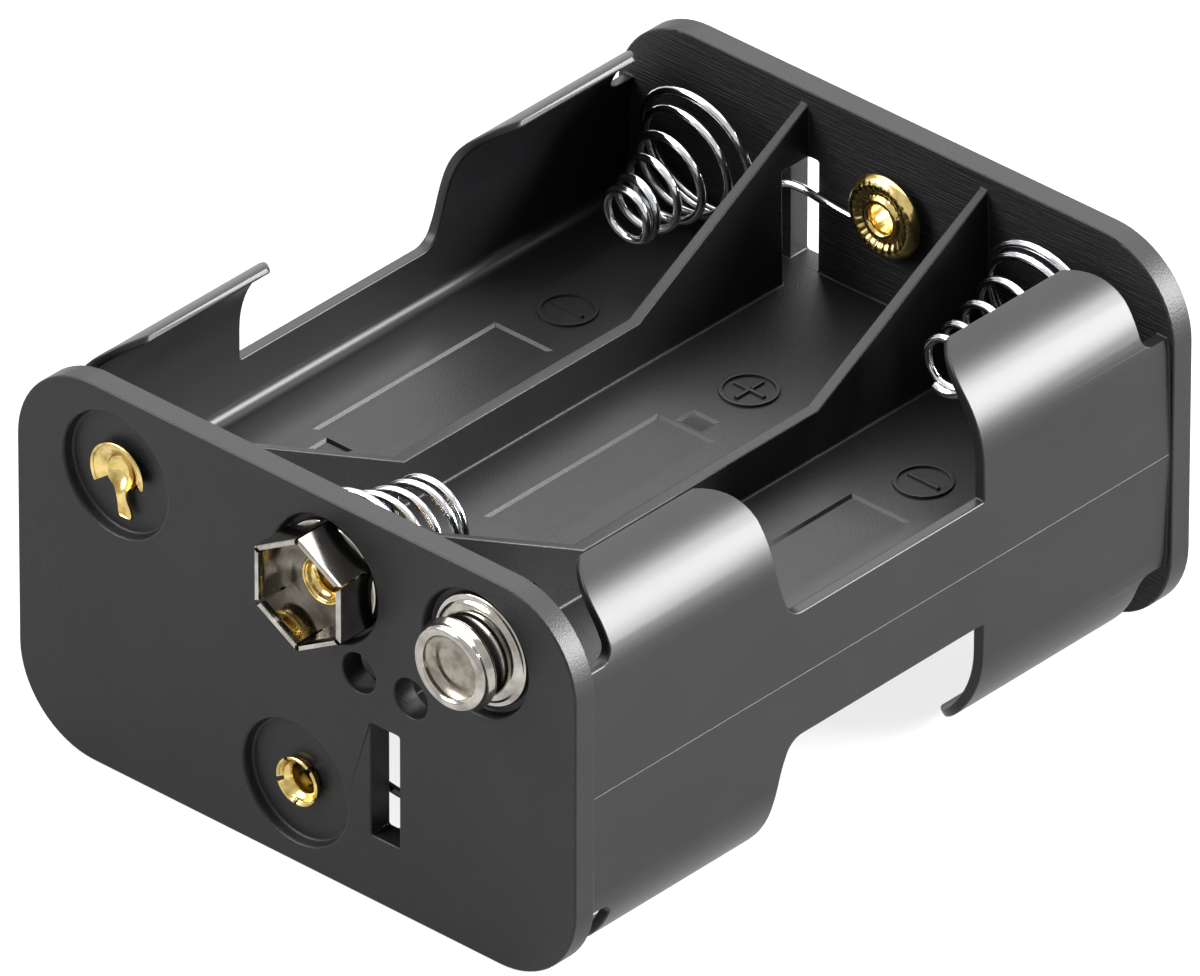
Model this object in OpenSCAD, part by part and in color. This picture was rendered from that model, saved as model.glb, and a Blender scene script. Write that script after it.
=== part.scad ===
// Double sided holder for six cylindrical cells: three bays above and three below
// one shared web, joined in series by conical springs, with snap terminals in front.

/* [Cells] */
// Diameter of one cell
cell_d = 14.5; // [12:0.1:18]
// Length of one cell
cell_l = 50.5; // [42:0.5:62]
// Gap between neighbouring cells
bay_gap = 0.8; // [0.6:0.1:3]
// Room along a cell for its pressed spring and its contact
contact_room = 3.9; // [3.4:0.1:8]

/* [Housing] */
// Height of the end plates, over both layers of cells
body_h = 28.2; // [23.5:0.1:34]
// Thickness of an end plate
plate_t = 1.8; // [1.5:0.1:2.4]
// Corner radius of an end plate
corner_r = 6.4; // [4:0.1:9]
// Radius along the edges of an end plate
edge_r = 0.15; // [0.1:0.05:0.5]
// Thickness of the web between the two layers
web_t = 1.8; // [1.5:0.1:2.4]
// Thickness of a side wall
wall_t = 0.8; // [0.6:0.1:1.2]
// How far a side wall stands back from the edge of the end plates
wall_inset = 0.4; // [0.1:0.1:0.8]
// Draft of a side wall, from the parting line to where it curves
wall_draft = 0.2; // [0:0.05:0.3]
// Fillet between a side wall and the floor of its bay
floor_fillet = 0.9; // [0.4:0.1:1.2]

/* [Retaining tabs] */
// Thickness of a tab at its tip
tab_tip_t = 0.5; // [0.4:0.05:0.9]
// How far a tab's tip reaches inwards from the outer face of the wall
tab_hook = 5.1; // [3:0.05:7]
// How far a tab's tip stays below the edge of the end plates
tab_drop = 0.05; // [0.05:0.05:1]
// How much larger a tab's outer radius is than a cell's
tab_over = 0.5; // [0.3:0.05:1.5]
// Length of the front tabs along the holder
front_tab_l = 15; // [10:0.05:18]
// Length of the rear tabs along the holder
rear_tab_l = 15.35; // [10:0.05:18]
// Corner radius of a tab's tip
tab_corner_r = 4.5; // [1:0.1:6]
// How far the circle of a front corner passes beyond the tip
front_corner_over = 0.9; // [0:0.1:1.5]
// How far the circle of a rear corner passes beyond the tip
rear_corner_over = 0.3; // [0:0.1:1.5]
// Notch between the front plate and the front tabs
front_notch = 2.45; // [1.5:0.05:4]
// Height of its floor above the web's middle
front_notch_z = 9; // [7:0.1:10]
// Notch between the rear plate and the rear tabs
rear_notch = 2.25; // [1.5:0.05:4]
// Height of its floor above the web's middle
rear_notch_z = 8.5; // [7:0.1:10]
// Radius in the corner of a notch, at the foot of the tab
notch_r = 1; // [0.3:0.1:1.4]
// Height of the finger window's sill above the web's middle
sill_z = 4.6; // [3.5:0.1:6]
// Fillet where the sill meets the flare
sill_r = 1.5; // [0.5:0.1:2]
// Radius of the flare at the foot of the front tabs
flare_r = 9; // [7:0.5:14]
// Height at which that flare starts
flare_z = 9.4; // [8.5:0.1:10.5]

/* [Partitions] */
// Thickness of a partition at the web
partition_t = 1.05; // [0.8:0.05:1.4]
// Thickness of a partition at the top of its gussets
partition_tip_t = 0.7; // [0.5:0.05:0.8]
// Height of the low ridge above the web's middle
ridge_z = 4.2; // [3:0.1:6]
// Length of a gusset along the holder
gusset_l = 16.2; // [10:0.1:18]
// How far a gusset stays below the edge of the end plates
gusset_drop = 1; // [0.5:0.1:3]

/* [Wire passages] */
// Length of a passage along the holder, measured from the end plate
passage_l = 2.5; // [2:0.1:3.5]
// Top of a passage above the web's middle
passage_z = 9.2; // [8.6:0.1:10]
// Width of the core slots in the end plates
slot_w = 2.4; // [2:0.05:4]
// Width of a passage through the web
web_passage_w = 3.4; // [2.6:0.1:5]
// Diameter of the holes for wire leads
lead_d = 2.8; // [2:0.1:3]
// Distance between the two lead holes
lead_pitch = 4.4; // [4.2:0.1:6]
// How far the lead holes stay above the web
lead_gap = 0.1; // [0.05:0.05:1]

/* [Eyelets] */
// Outer diameter of an eyelet's barrel
barrel_d = 2.5; // [2:0.1:3]
// Wall thickness of an eyelet's barrel
barrel_t = 0.25; // [0.2:0.05:0.4]
// Diameter of an eyelet's head, which is the contact
head_d = 6; // [5:0.1:7]
// Height of an eyelet's head
head_h = 0.75; // [0.5:0.05:1]
// Rim diameter of a wide flared end
wide_cup_d = 4.5; // [3.8:0.1:5]
// Rim diameter of a narrow flared end
narrow_cup_d = 3.5; // [3.3:0.1:4]
// Height of a flared end
cup_h = 0.7; // [0.4:0.05:1]
// Width of the flat collar at its foot
cup_collar = 0.3; // [0.2:0.05:0.4]
// Thickness of its flared wall
cup_t = 0.18; // [0.1:0.02:0.25]
// Number of splits in a narrow flared end
splits = 5; // [3:1:8]
// Width of such a split
split_w = 0.25; // [0.1:0.05:0.5]
// Width of the tongue that is bent out of the wide flared end
tongue_w = 1.2; // [0.8:0.1:1.6]
// How far that tongue reaches from the eyelet's axis
tongue_l = 3.4; // [2.6:0.1:3.8]
// Clearance around the corners of the socket in its recess
recess_gap = 0.1; // [0.05:0.01:0.3]
// Depth of that recess
recess_h = 0.75; // [0.5:0.05:0.9]
// Draft of the recess wall
recess_draft = 0.15; // [0.05:0.05:0.4]
// Clearance of a barrel in its hole
barrel_gap = 0.05; // [0.02:0.01:0.15]

/* [Snap terminals] */
// Distance between the axes of the two terminals
snap_pitch = 12.7; // [12:0.1:15]
// How far the terminals stand out of the front plate
snap_h = 2.6; // [2:0.1:3.5]
// Diameter of the stud over its bead
stud_d = 5.9; // [5.5:0.05:6.2]
// Diameter of the stud's neck
stud_neck_d = 5; // [4.6:0.1:5.2]
// Length of the straight land on the bead
stud_land = 0.6; // [0.3:0.1:1]
// Diameter of the flange under each terminal
flange_d = 7.8; // [7:0.1:8]
// Sheet thickness of the terminals
sheet_t = 0.35; // [0.25:0.05:0.45]
// Width across the flats of the six sided socket
socket_af = 7.3; // [6.8:0.1:7.5]
// Thickness of its leaves
leaf_t = 0.5; // [0.3:0.05:0.6]
// Length of the closed collar at their foot
leaf_foot = 0.6; // [0.3:0.1:1]
// Width of the slits between its leaves
socket_slit = 0.3; // [0.2:0.05:0.8]
// Chamfer on the corners of a leaf
leaf_chamfer = 0.35; // [0.1:0.05:0.8]

/* [Springs] */
// Diameter of the spring wire
wire_d = 0.6; // [0.4:0.05:0.7]
// Mean diameter of a spring's base turn
spring_base_d = 9.6; // [8:0.1:10]
// Mean diameter of a spring's tip turn
spring_tip_d = 3.7; // [3:0.1:5]
// The same for the spring around the socket's eyelet
ring_tip_d = 5.6; // [4:0.1:7]
// Number of turns
spring_turns = 6; // [5:0.5:7]
// How many of them lie close at the base
base_turns = 1.5; // [1:0.5:2]
// How many of them lie close at the tip
tip_turns = 1; // [0.5:0.5:1.5]
// Rise of a close turn
close_rise = 0.65; // [0.65:0.05:1]
// Turns at the base before a spring narrows
even_turns = 0.75; // [0:0.25:1.5]
// How soon a spring narrows after them
spring_taper = 2; // [1:0.1:3]
// Height of the base turn above the end wall
spring_stand = 1.45; // [1.3:0.05:2.5]
// How far the base turn tips away from the wall at its top
spring_tilt = 1; // [0:0.1:1.1]
// Free height of the springs that are linked side to side
side_spring_h = 9.3; // [8:0.1:13]
// Free height of the springs that are linked through the web
web_spring_h = 11.9; // [8:0.1:13]
// Free height of the spring around the socket's eyelet
ring_spring_h = 10.9; // [8:0.1:13]
// Base turns from the cell's axis, sideways, for the side, web and ring springs
spring_shift = [0.4, -0.8, 1.6];
// The same, downwards to the web
spring_drop = [1, 0.3, 1.4];
// How far their tips lean towards the web
spring_lean = [1.6, -0.2, 0.8];
// How far their tips lean sideways
spring_sway = [0, 0.2, -1.2];
// Clearance of the wire where an eyelet holds it
wire_gap = 0.05; // [0.03:0.01:0.15]

/* [Hidden] */
$fn = 64;
bay_pitch = cell_d + bay_gap;
cell_z = (web_t + cell_d) / 2;
wall_in = bay_pitch + cell_d / 2;
wall_out = wall_in + wall_t;
body_w = 2 * (wall_out + wall_inset);
body_l = cell_l + contact_room + 2 * plate_t;
half_h = body_h / 2;
front_y = (snap_h - body_l) / 2;
eps = 0.01;

tab_r = cell_d / 2 + tab_over;
tab_tip_r = tab_tip_t / 2;
tab_tip = [wall_out - tab_hook + tab_tip_r, half_h - tab_drop - tab_tip_r];
tab_cx = wall_out - tab_r;
tab_cz = tab_tip[1] - sqrt(pow(tab_r - tab_tip_r, 2) - pow(tab_tip[0] - tab_cx, 2));
tab_tip_a = atan2(tab_tip[1] - tab_cz, tab_tip[0] - tab_cx);
tab_in_r = (pow(wall_in - tab_tip[0], 2) + pow(tab_tip[1] - tab_cz, 2) - pow(tab_tip_r, 2))
    / (2 * (wall_in - tab_tip[0] + tab_tip_r));
tab_corner_a = tab_tip_a - asin(tab_corner_r / 2 / tab_r);
front_tab_y = [plate_t + front_notch, plate_t + front_notch + front_tab_l];
rear_tab_y = [body_l - plate_t - rear_notch - rear_tab_l, body_l - plate_t - rear_notch];

socket_x = bay_pitch - snap_pitch;
lead_x = bay_pitch / 2;
lead_z = (web_t + lead_d) / 2 + lead_gap;
socket_corner_r = socket_af / sqrt(3);
recess_r = max(flange_d / 2, socket_corner_r) + recess_gap;
floor_y = recess_h - plate_t;

wire_r = wire_d / 2;
wire_lift = wire_r + wire_gap;
head_lift = wire_d + 2 * wire_gap;
eye_r = barrel_d / 2 + wire_lift;
base_r = spring_base_d / 2;
ring_stand = head_lift + head_h + wire_gap + wire_r;
under_head = sqrt(head_d * head_d / 4 - eye_r * eye_r) + wire_d;
side_kind = 0;
web_kind = 1;
ring_kind = 2;
spring_h = [side_spring_h, web_spring_h, ring_spring_h];
stand = [spring_stand, spring_stand, ring_stand];
leave = [-28, -118, -75];
tip_r = [spring_tip_d / 2, spring_tip_d / 2, ring_tip_d / 2];
wire_sides = 6;
turn_steps = 15;
link_steps = 12;
eye_steps = 12;
eye_sweep = 300;

// The body is drawn with y = 0 on its front face and z = 0 in the middle of its web
module place() {
    translate([0, front_y, half_h]) children();
}

// A flat (x, z) shape, given depth towards +y from y0
module along_y(y0, depth) {
    translate([0, y0, 0]) rotate([90, 0, 0]) mirror([0, 0, 1]) linear_extrude(depth) children();
}

// A flat (y, z) shape, given width towards +x from x0
module along_x(x0, width) {
    translate([x0, 0, 0]) rotate([90, 0, 90]) linear_extrude(width) children();
}

// A profile turned about a line along y; its second coordinate runs towards +y
module turned(x, y, z) {
    translate([x, y, z]) rotate([-90, 0, 0]) rotate_extrude() children();
}

module both_sides() {
    children();
    mirror([1, 0, 0]) children();
}

// Both sides again, with the left one turned about the upright axis of the body
module turned_sides() {
    children();
    translate([0, body_l, 0]) rotate([0, 0, 180]) children();
}

module both_layers() {
    children();
    mirror([0, 0, 1]) children();
}

// The section of an end plate, square at the left and rounded by edge_r at the right
module plate_edge(w) {
    square([w - edge_r, plate_t]);
    translate([0, edge_r]) square([w, plate_t - 2 * edge_r]);
    for (y = [edge_r, plate_t - edge_r])
        translate([w - edge_r, y]) circle(edge_r);
}

// One end plate: a slab with rounded edges, and a turned quarter at each corner
module end_plate(y0) {
    flat_w = body_w - 2 * corner_r;
    flat_h = body_h - 2 * corner_r;
    translate([0, y0, 0]) {
        translate([-flat_w / 2, 0, -flat_h / 2]) cube([flat_w, plate_t, flat_h]);
        for (s = [-1, 1]) {
            scale([1, 1, s]) translate([flat_w / 2, 0, flat_h / 2]) rotate([0, -90, 0])
                linear_extrude(flat_w) plate_edge(corner_r);
            scale([s, 1, 1]) translate([flat_w / 2, 0, -flat_h / 2])
                linear_extrude(flat_h) plate_edge(corner_r);
            for (t = [-1, 1])
                scale([s, 1, t]) translate([flat_w / 2, 0, flat_h / 2]) rotate([-90, 0, 0])
                    mirror([0, 1, 0]) rotate_extrude(angle = 90) plate_edge(corner_r);
        }
    }
}

// Half of a side wall in section: drafted below, then curved over the cell
module wall_section() {
    polygon([
        [wall_in, 0], [wall_out + wall_draft, 0],
        [wall_out, tab_cz], [wall_in, tab_cz]
    ]);
    intersection() {
        difference() {
            translate([tab_cx, tab_cz]) circle(tab_r);
            translate([wall_in - tab_in_r, tab_cz]) circle(tab_in_r);
        }
        translate([tab_cx, tab_cz])
            polygon([[0, 0], [2 * tab_r, 0], [2 * tab_r, 2 * tab_r], 2 * tab_r * [cos(tab_tip_a), sin(tab_tip_a)]]);
    }
    difference() {
        square_from([wall_in - floor_fillet, 0], [wall_in, web_t / 2 + floor_fillet]);
        translate([wall_in - floor_fillet, web_t / 2 + floor_fillet]) circle(floor_fillet);
    }
}

module square_from(low, high) {
    translate(low) square(high - low);
}

// The finger window between the tabs, with a flared foot on the front tab
module window_outline() {
    top = 2 * half_h;
    flare_y = front_tab_y[1] + flare_r;
    reach = flare_r - sill_r;
    rise = flare_z - sill_z - sill_r;
    fillet_y = flare_y - sqrt(reach * reach - rise * rise);
    square_from([front_tab_y[1], flare_z], [rear_tab_y[0], top]);
    square_from([fillet_y, sill_z], [rear_tab_y[0], top]);
    translate([fillet_y, sill_z + sill_r]) circle(sill_r);
    intersection() {
        square_from([front_tab_y[1], flare_z - flare_r * rise / reach], [flare_y, flare_z]);
        translate([flare_y, flare_z]) circle(flare_r);
    }
}

// A notch between an end plate at y0 and the foot of a tab at y1
module notch_outline(y0, y1, floor_z) {
    top = 2 * half_h;
    centre_y = y1 > y0 ? y1 - notch_r : y1 + notch_r;
    square_from([min(y0, centre_y), floor_z], [max(y0, centre_y), top]);
    square_from([min(y0, y1), floor_z + notch_r], [max(y0, y1), top]);
    translate([centre_y, floor_z + notch_r]) circle(notch_r);
}

// Cuts one rounded corner of a tab's tip, square to the curved wall there
module tab_corner_cut(y, towards, over) {
    r = tab_corner_r;
    translate([tab_cx, y, tab_cz]) rotate([0, -tab_corner_a, 0])
        translate([tab_in_r - 2, 0, r / 2 + over])
            along_x(0, 4) scale([towards, 1]) difference() {
                translate([-1, -r]) square([r + 1, 3 * r]);
                translate([r, -r]) circle(r);
            }
}

module side_wall() {
    difference() {
        along_y(plate_t - eps, body_l - 2 * plate_t + 2 * eps) wall_section();
        along_x(0, body_w) window_outline();
        along_x(0, body_w) notch_outline(plate_t, front_tab_y[0], front_notch_z);
        along_x(0, body_w) notch_outline(body_l - plate_t, rear_tab_y[1], rear_notch_z);
        for (tab_y = [front_tab_y, rear_tab_y]) {
            tab_corner_cut(tab_y[0], 1, front_corner_over);
            tab_corner_cut(tab_y[1], -1, rear_corner_over);
        }
    }
}

// One partition: a low ridge with a gusset up to each end plate
module partition() {
    top = half_h - gusset_drop;
    intersection() {
        along_y(0, body_l) translate([bay_pitch / 2, 0]) polygon([
            [-partition_t / 2, 0], [partition_t / 2, 0],
            [partition_tip_t / 2, top], [-partition_tip_t / 2, top]
        ]);
        along_x(0, body_w) polygon([
            [plate_t - eps, 0], [plate_t - eps, top], [plate_t, top],
            [plate_t + gusset_l, ridge_z], [body_l - plate_t - gusset_l, ridge_z],
            [body_l - plate_t, top], [body_l - plate_t + eps, top], [body_l - plate_t + eps, 0]
        ]);
    }
}

// Passage for a link wire between two bays: through the partition, and a core slot
module bay_passage(x, y0, y1, wall_y) {
    z0 = web_t / 2;
    translate([x - partition_t, y0, z0]) cube([2 * partition_t, y1 - y0, passage_z - z0]);
    translate([x - slot_w / 2, wall_y - 1, z0]) cube([slot_w, plate_t + 2, passage_z - z0]);
}

// Passage for a link wire through the web
module web_passage(x, y0) {
    translate([x - web_passage_w / 2, y0, -web_t]) cube([web_passage_w, passage_l, 2 * web_t]);
}

// Recess and hole for an eyelet; out is -1 on the front plate and 1 on the rear one
module eyelet_seat(x, z, wall_y, out) {
    translate([x, wall_y, z]) scale([1, out, 1]) {
        turned(0, -recess_h, 0) polygon([
            [0, 0], [recess_r, 0], [recess_r + recess_draft, recess_h], [recess_r + recess_draft, 2], [0, 2]
        ]);
        turned(0, -plate_t - 1, 0) square([barrel_d / 2 + barrel_gap, plate_t + 2]);
    }
}

module housing() {
    rear = body_l;
    front_in = plate_t;
    rear_in = rear - plate_t;
    color("#2b2b2e") place() difference() {
        union() {
            end_plate(0);
            end_plate(rear_in);
            translate([-wall_out, plate_t - eps, -web_t / 2])
                cube([2 * wall_out, rear_in - plate_t + 2 * eps, web_t]);
            both_layers() {
                turned_sides() side_wall();
                both_sides() partition();
            }
        }
        bay_passage(-bay_pitch / 2, rear_in - passage_l, rear_in, rear_in);
        mirror([0, 0, 1]) bay_passage(-bay_pitch / 2, rear_in - passage_l, rear_in, rear_in);
        mirror([0, 0, 1]) bay_passage(bay_pitch / 2, front_in, front_in + passage_l, 0);
        web_passage(-bay_pitch + link_x(), front_in);
        web_passage(bay_pitch + link_x(), rear_in - passage_l);
        eyelet_seat(-bay_pitch, cell_z, 0, -1);
        eyelet_seat(0, -cell_z, 0, -1);
        eyelet_seat(socket_x, cell_z, 0, -1);
        eyelet_seat(bay_pitch, cell_z, 0, -1);
        eyelet_seat(0, cell_z, rear, 1);
        eyelet_seat(-bay_pitch, -cell_z, rear, 1);
        eyelet_seat(bay_pitch, -cell_z, rear, 1);
        for (s = [-1, 1])
            turned(lead_x + s * lead_pitch / 2, -1, lead_z) square([lead_d / 2, plate_t + 2]);
    }
}

// An eyelet, drawn with y = 0 on the inner face of its wall and +y into the bay; its
// flared end stands on the face at foot_y
module eyelet_body(lift, cup_d, foot_y, split) {
    bore_r = barrel_d / 2 - barrel_t;
    foot_r = barrel_d / 2 + cup_collar;
    head_c = (bore_r + head_d / 2) / 2;
    half_w = head_d / 2 - head_c;
    dome_r = (half_w * half_w + head_h * head_h) / (2 * head_h);
    difference() {
        turned(0, 0, 0) {
            intersection() {
                translate([head_c, lift + head_h - dome_r]) circle(dome_r);
                square_from([bore_r, lift], [head_d / 2, lift + head_h]);
            }
            polygon([
                [bore_r, lift + head_h / 2], [bore_r, foot_y - barrel_t], [foot_r - cup_t, foot_y - barrel_t],
                [cup_d / 2 - cup_t, foot_y - cup_h], [cup_d / 2, foot_y - cup_h], [foot_r, foot_y],
                [barrel_d / 2, foot_y], [barrel_d / 2, lift + head_h / 2]
            ]);
        }
        if (split)
            for (i = [0 : splits - 1])
                rotate([0, 360 / splits * (i + 0.3), 0])
                    translate([barrel_d / 2, foot_y - cup_h - 1, -split_w / 2])
                        cube([cup_d, cup_h + 1 - barrel_t, split_w]);
    }
}

module eyelet_at(x, z, wall, lift, cup_d, split) {
    translate([x, wall < 0 ? plate_t : body_l - plate_t, z]) scale([1, -wall, 1])
        eyelet_body(lift, cup_d, floor_y, split);
}

// The wide end is torn open below, where its tongue lies bent down
module eyelet_top_left() {
    foot_r = barrel_d / 2 + cup_collar;
    color("#c9a24a") place() {
        difference() {
            eyelet_at(-bay_pitch, cell_z, -1, head_lift, wide_cup_d, false);
            translate([-bay_pitch - tongue_w / 2, recess_h - cup_h - 1, cell_z - wide_cup_d])
                cube([tongue_w, cup_h + 1 - barrel_t, wide_cup_d - barrel_d / 2]);
        }
        translate([-bay_pitch - tongue_w / 2, recess_h - 2 * barrel_t + eps, cell_z - tongue_l])
            cube([tongue_w, barrel_t, tongue_l - barrel_d / 2]);
    }
}

module eyelet_top_middle() {
    color("#c9a24a") place() eyelet_at(0, cell_z, 1, head_lift, narrow_cup_d, true);
}

module eyelet_bottom_left() {
    color("#c9a24a") place() eyelet_at(-bay_pitch, -cell_z, 1, head_lift, narrow_cup_d, true);
}

module eyelet_bottom_middle() {
    color("#c9a24a") place() eyelet_at(0, -cell_z, -1, head_lift, narrow_cup_d, true);
}

module eyelet_bottom_right() {
    color("#c9a24a") place() eyelet_at(bay_pitch, -cell_z, 1, head_lift, narrow_cup_d, true);
}

// The parts of a terminal start on the recess floor and reach out towards -y
module stud_rivet() {
    color("#c9c9c6") place() translate([bay_pitch, plate_t, cell_z])
        eyelet_body(0, narrow_cup_d, floor_y - sheet_t, false);
}

module socket_eyelet() {
    color("#c9a24a") place() translate([socket_x, plate_t, cell_z])
        eyelet_body(head_lift, narrow_cup_d, floor_y - sheet_t, false);
}

module snap_stud() {
    neck_r = stud_neck_d / 2;
    bead_r = stud_d / 2;
    bead_e = bead_r - neck_r;
    front = recess_h + snap_h;
    hole_r = barrel_d / 2 + barrel_gap;
    color("#d2d2cf") place() turned(bay_pitch, recess_h, cell_z) mirror([0, 1]) {
        square_from([hole_r, 0], [flange_d / 2 - sheet_t / 2, sheet_t]);
        translate([flange_d / 2 - sheet_t / 2, sheet_t / 2]) circle(sheet_t / 2);
        square_from([neck_r - sheet_t, 0], [neck_r, front - bead_e]);
        difference() {
            square_from([neck_r, 0], [neck_r + sheet_t, 2 * sheet_t]);
            translate([neck_r + sheet_t, 2 * sheet_t]) circle(sheet_t);
        }
        square_from([neck_r - sheet_t, front - 2 * bead_e - stud_land], [neck_r, front - bead_e]);
        square_from([neck_r - eps, front - bead_e - stud_land], [bead_r, front - bead_e]);
        translate([neck_r, front - bead_e]) intersection() {
            circle(bead_e);
            square(bead_e);
        }
        square_from([neck_r - sheet_t, front - bead_e - eps], [neck_r, front]);
        translate([neck_r, front - bead_e - stud_land]) intersection() {
            circle(bead_e);
            translate([0, -bead_e]) square(bead_e);
        }
    }
}

// A slit between two leaves in (y, z), which chamfers their corners at the mouth
module leaf_slit() {
    half_w = socket_slit / 2;
    foot = recess_h - sheet_t - leaf_foot;
    wide = half_w + leaf_chamfer + 1;
    polygon([
        [foot, -half_w], [foot, half_w], [leaf_chamfer - snap_h, half_w], [-snap_h - 1, wide],
        [-snap_h - 1, -wide], [leaf_chamfer - snap_h, -half_w]
    ]);
}

module snap_socket() {
    hole_r = barrel_d / 2 + barrel_gap;
    color("#d2d2cf") place() translate([socket_x, 0, cell_z]) {
        turned(0, recess_h - sheet_t, 0) difference() {
            square([flange_d / 2, sheet_t]);
            square([hole_r, sheet_t]);
        }
        difference() {
            along_y(-snap_h, snap_h + recess_h) difference() {
                rotate(30) circle(socket_corner_r, $fn = 6);
                rotate(30) circle(socket_corner_r - leaf_t * 2 / sqrt(3), $fn = 6);
            }
            for (i = [0 : 5])
                rotate([0, 60 * i + 30, 0]) along_x(socket_af / 4, socket_af / 2) leaf_slit();
        }
    }
}

// Springs. Every path is drawn with y = 0 on the inner face of the wall that holds the
// spring, +y into the bay, and x = z = 0 on the axis of the base turn.

// Height of the wire's axis after n turns of a spring of kind k, before its tilt
function coil_y(k, n) =
    let (top = spring_h[k] - wire_r, low = stand[k] + close_rise * base_turns,
         high = top - close_rise * tip_turns, last = spring_turns - tip_turns)
    n < base_turns ? stand[k] + close_rise * n
    : n < last ? low + (high - low) * (n - base_turns) / (last - base_turns)
    : high + close_rise * (n - last);

function coil_r(k, n) =
    let (left = (spring_turns - max(n, even_turns)) / (spring_turns - even_turns))
    tip_r[k] + (base_r - tip_r[k]) * pow(max(0, left), spring_taper);

function coil_point(k, n) =
    let (a = leave[k] - 360 * n, y = coil_y(k, n),
         t = (y - stand[k]) / (spring_h[k] - wire_r - stand[k]),
         tilt = spring_tilt * max(0, 1 - n / (spring_turns - tip_turns)))
    [coil_r(k, n) * cos(a) + spring_sway[k] * t, y + tilt * sin(a), coil_r(k, n) * sin(a) - spring_lean[k] * t];

function bezier(p, t) =
    pow(1 - t, 3) * p[0] + 3 * pow(1 - t, 2) * t * p[1] + 3 * (1 - t) * t * t * p[2] + pow(t, 3) * p[3];

// From the base turn to the eyelet at (dx, dz); the wire arrives heading along angle a,
// and is down on the wall before it passes under the eyelet's head
function link_points(k, dx, dz, a) =
    let (start = coil_point(k, 0),
         way = [cos(a), 0, sin(a)],
         finish = [dx + eye_r * sin(a), wire_lift, dz - eye_r * cos(a)],
         rim = finish - under_head * way,
         reach = norm(rim - start) / 2,
         ahead = [start[0] - reach * sin(leave[k]), wire_lift, start[2] + reach * cos(leave[k])],
         p = [start, ahead, rim - reach * way, rim])
    concat([for (i = [1 : link_steps]) bezier(p, i / link_steps)], [finish]);

function eye_points(dx, dz, a) =
    [for (i = [1 : eye_steps])
        let (t = a - 90 + eye_sweep * i / eye_steps)
        [dx + eye_r * cos(t), wire_lift, dz + eye_r * sin(t)]];

// Where the eyelet stands, from the base turn of a spring of kind k
function eyelet_dx(k) = [bay_pitch, 0, socket_x][k] - spring_shift[k];
function eyelet_dz(k) = [0, -2 * cell_z, 0][k] + spring_drop[k];
function arrival(k) = [0, -90, 90][k];

function spring_link(k) = link_points(k, eyelet_dx(k), eyelet_dz(k), arrival(k));

function spring_path(k) = concat(
    [for (i = [floor(spring_turns * turn_steps) : -1 : 0]) coil_point(k, i / turn_steps)],
    spring_link(k),
    eye_points(eyelet_dx(k), eyelet_dz(k), arrival(k))
);

function unit(v) = v / norm(v);

function wire_ring(path, i) =
    let (last = len(path) - 1,
         t = unit(path[min(i + 1, last)] - path[max(i - 1, 0)]),
         u = unit(cross(t, [0, 1, 0])),
         v = cross(t, u))
    [for (k = [0 : wire_sides - 1])
        path[i] + wire_r * (cos(360 * k / wire_sides) * u + sin(360 * k / wire_sides) * v)];

// A round wire swept along a path that never runs along y
module wire(path) {
    rings = len(path);
    s = wire_sides;
    points = [for (i = [0 : rings - 1]) each wire_ring(path, i)];
    sides = [for (i = [0 : rings - 2], k = [0 : s - 1])
        let (a = i * s + k, b = i * s + (k + 1) % s)
        each [[a, a + s, b], [b, a + s, b + s]]];
    ends = [
        [for (k = [0 : s - 1]) k],
        [for (k = [s - 1 : -1 : 0]) (rings - 1) * s + k]
    ];
    polyhedron(points, concat(sides, ends));
}

// A spring of kind k at the axis x of its cell. The wall is -1 in front and 1 at the rear,
// the layer is 1 above and -1 below, and the link of a side spring leaves towards hand.
module spring_at(k, x, wall, layer, hand = 1) {
    color("#c4c6c8") place()
        translate([x + hand * spring_shift[k], wall < 0 ? plate_t : body_l - plate_t, layer * (cell_z - spring_drop[k])])
            scale([hand, -wall, layer]) wire(spring_path(k));
}

// Where a web link crosses the web, from the axis of its cell
function link_x() =
    let (near = [for (p = spring_link(web_kind)) if (abs(p[2] + cell_z - spring_drop[web_kind]) < cell_z / 3) p[0]])
    (min(near) + max(near)) / 2 + spring_shift[web_kind];

module spring_top_left() {
    spring_at(side_kind, -bay_pitch, 1, 1);
}

module spring_top_middle() {
    spring_at(ring_kind, 0, -1, 1);
}

module spring_top_right() {
    spring_at(web_kind, bay_pitch, 1, 1);
}

module spring_bottom_left() {
    spring_at(web_kind, -bay_pitch, -1, -1);
}

module spring_bottom_middle() {
    spring_at(side_kind, 0, 1, -1, hand = -1);
}

module spring_bottom_right() {
    spring_at(side_kind, bay_pitch, -1, -1, hand = -1);
}

housing();
eyelet_top_left();
eyelet_top_middle();
eyelet_bottom_left();
eyelet_bottom_middle();
eyelet_bottom_right();
spring_top_left();
spring_top_middle();
spring_top_right();
spring_bottom_left();
spring_bottom_middle();
spring_bottom_right();
snap_stud();
stud_rivet();
snap_socket();
socket_eyelet();
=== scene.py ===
import math
import bpy
import bmesh
from mathutils import Matrix, Vector


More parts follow.
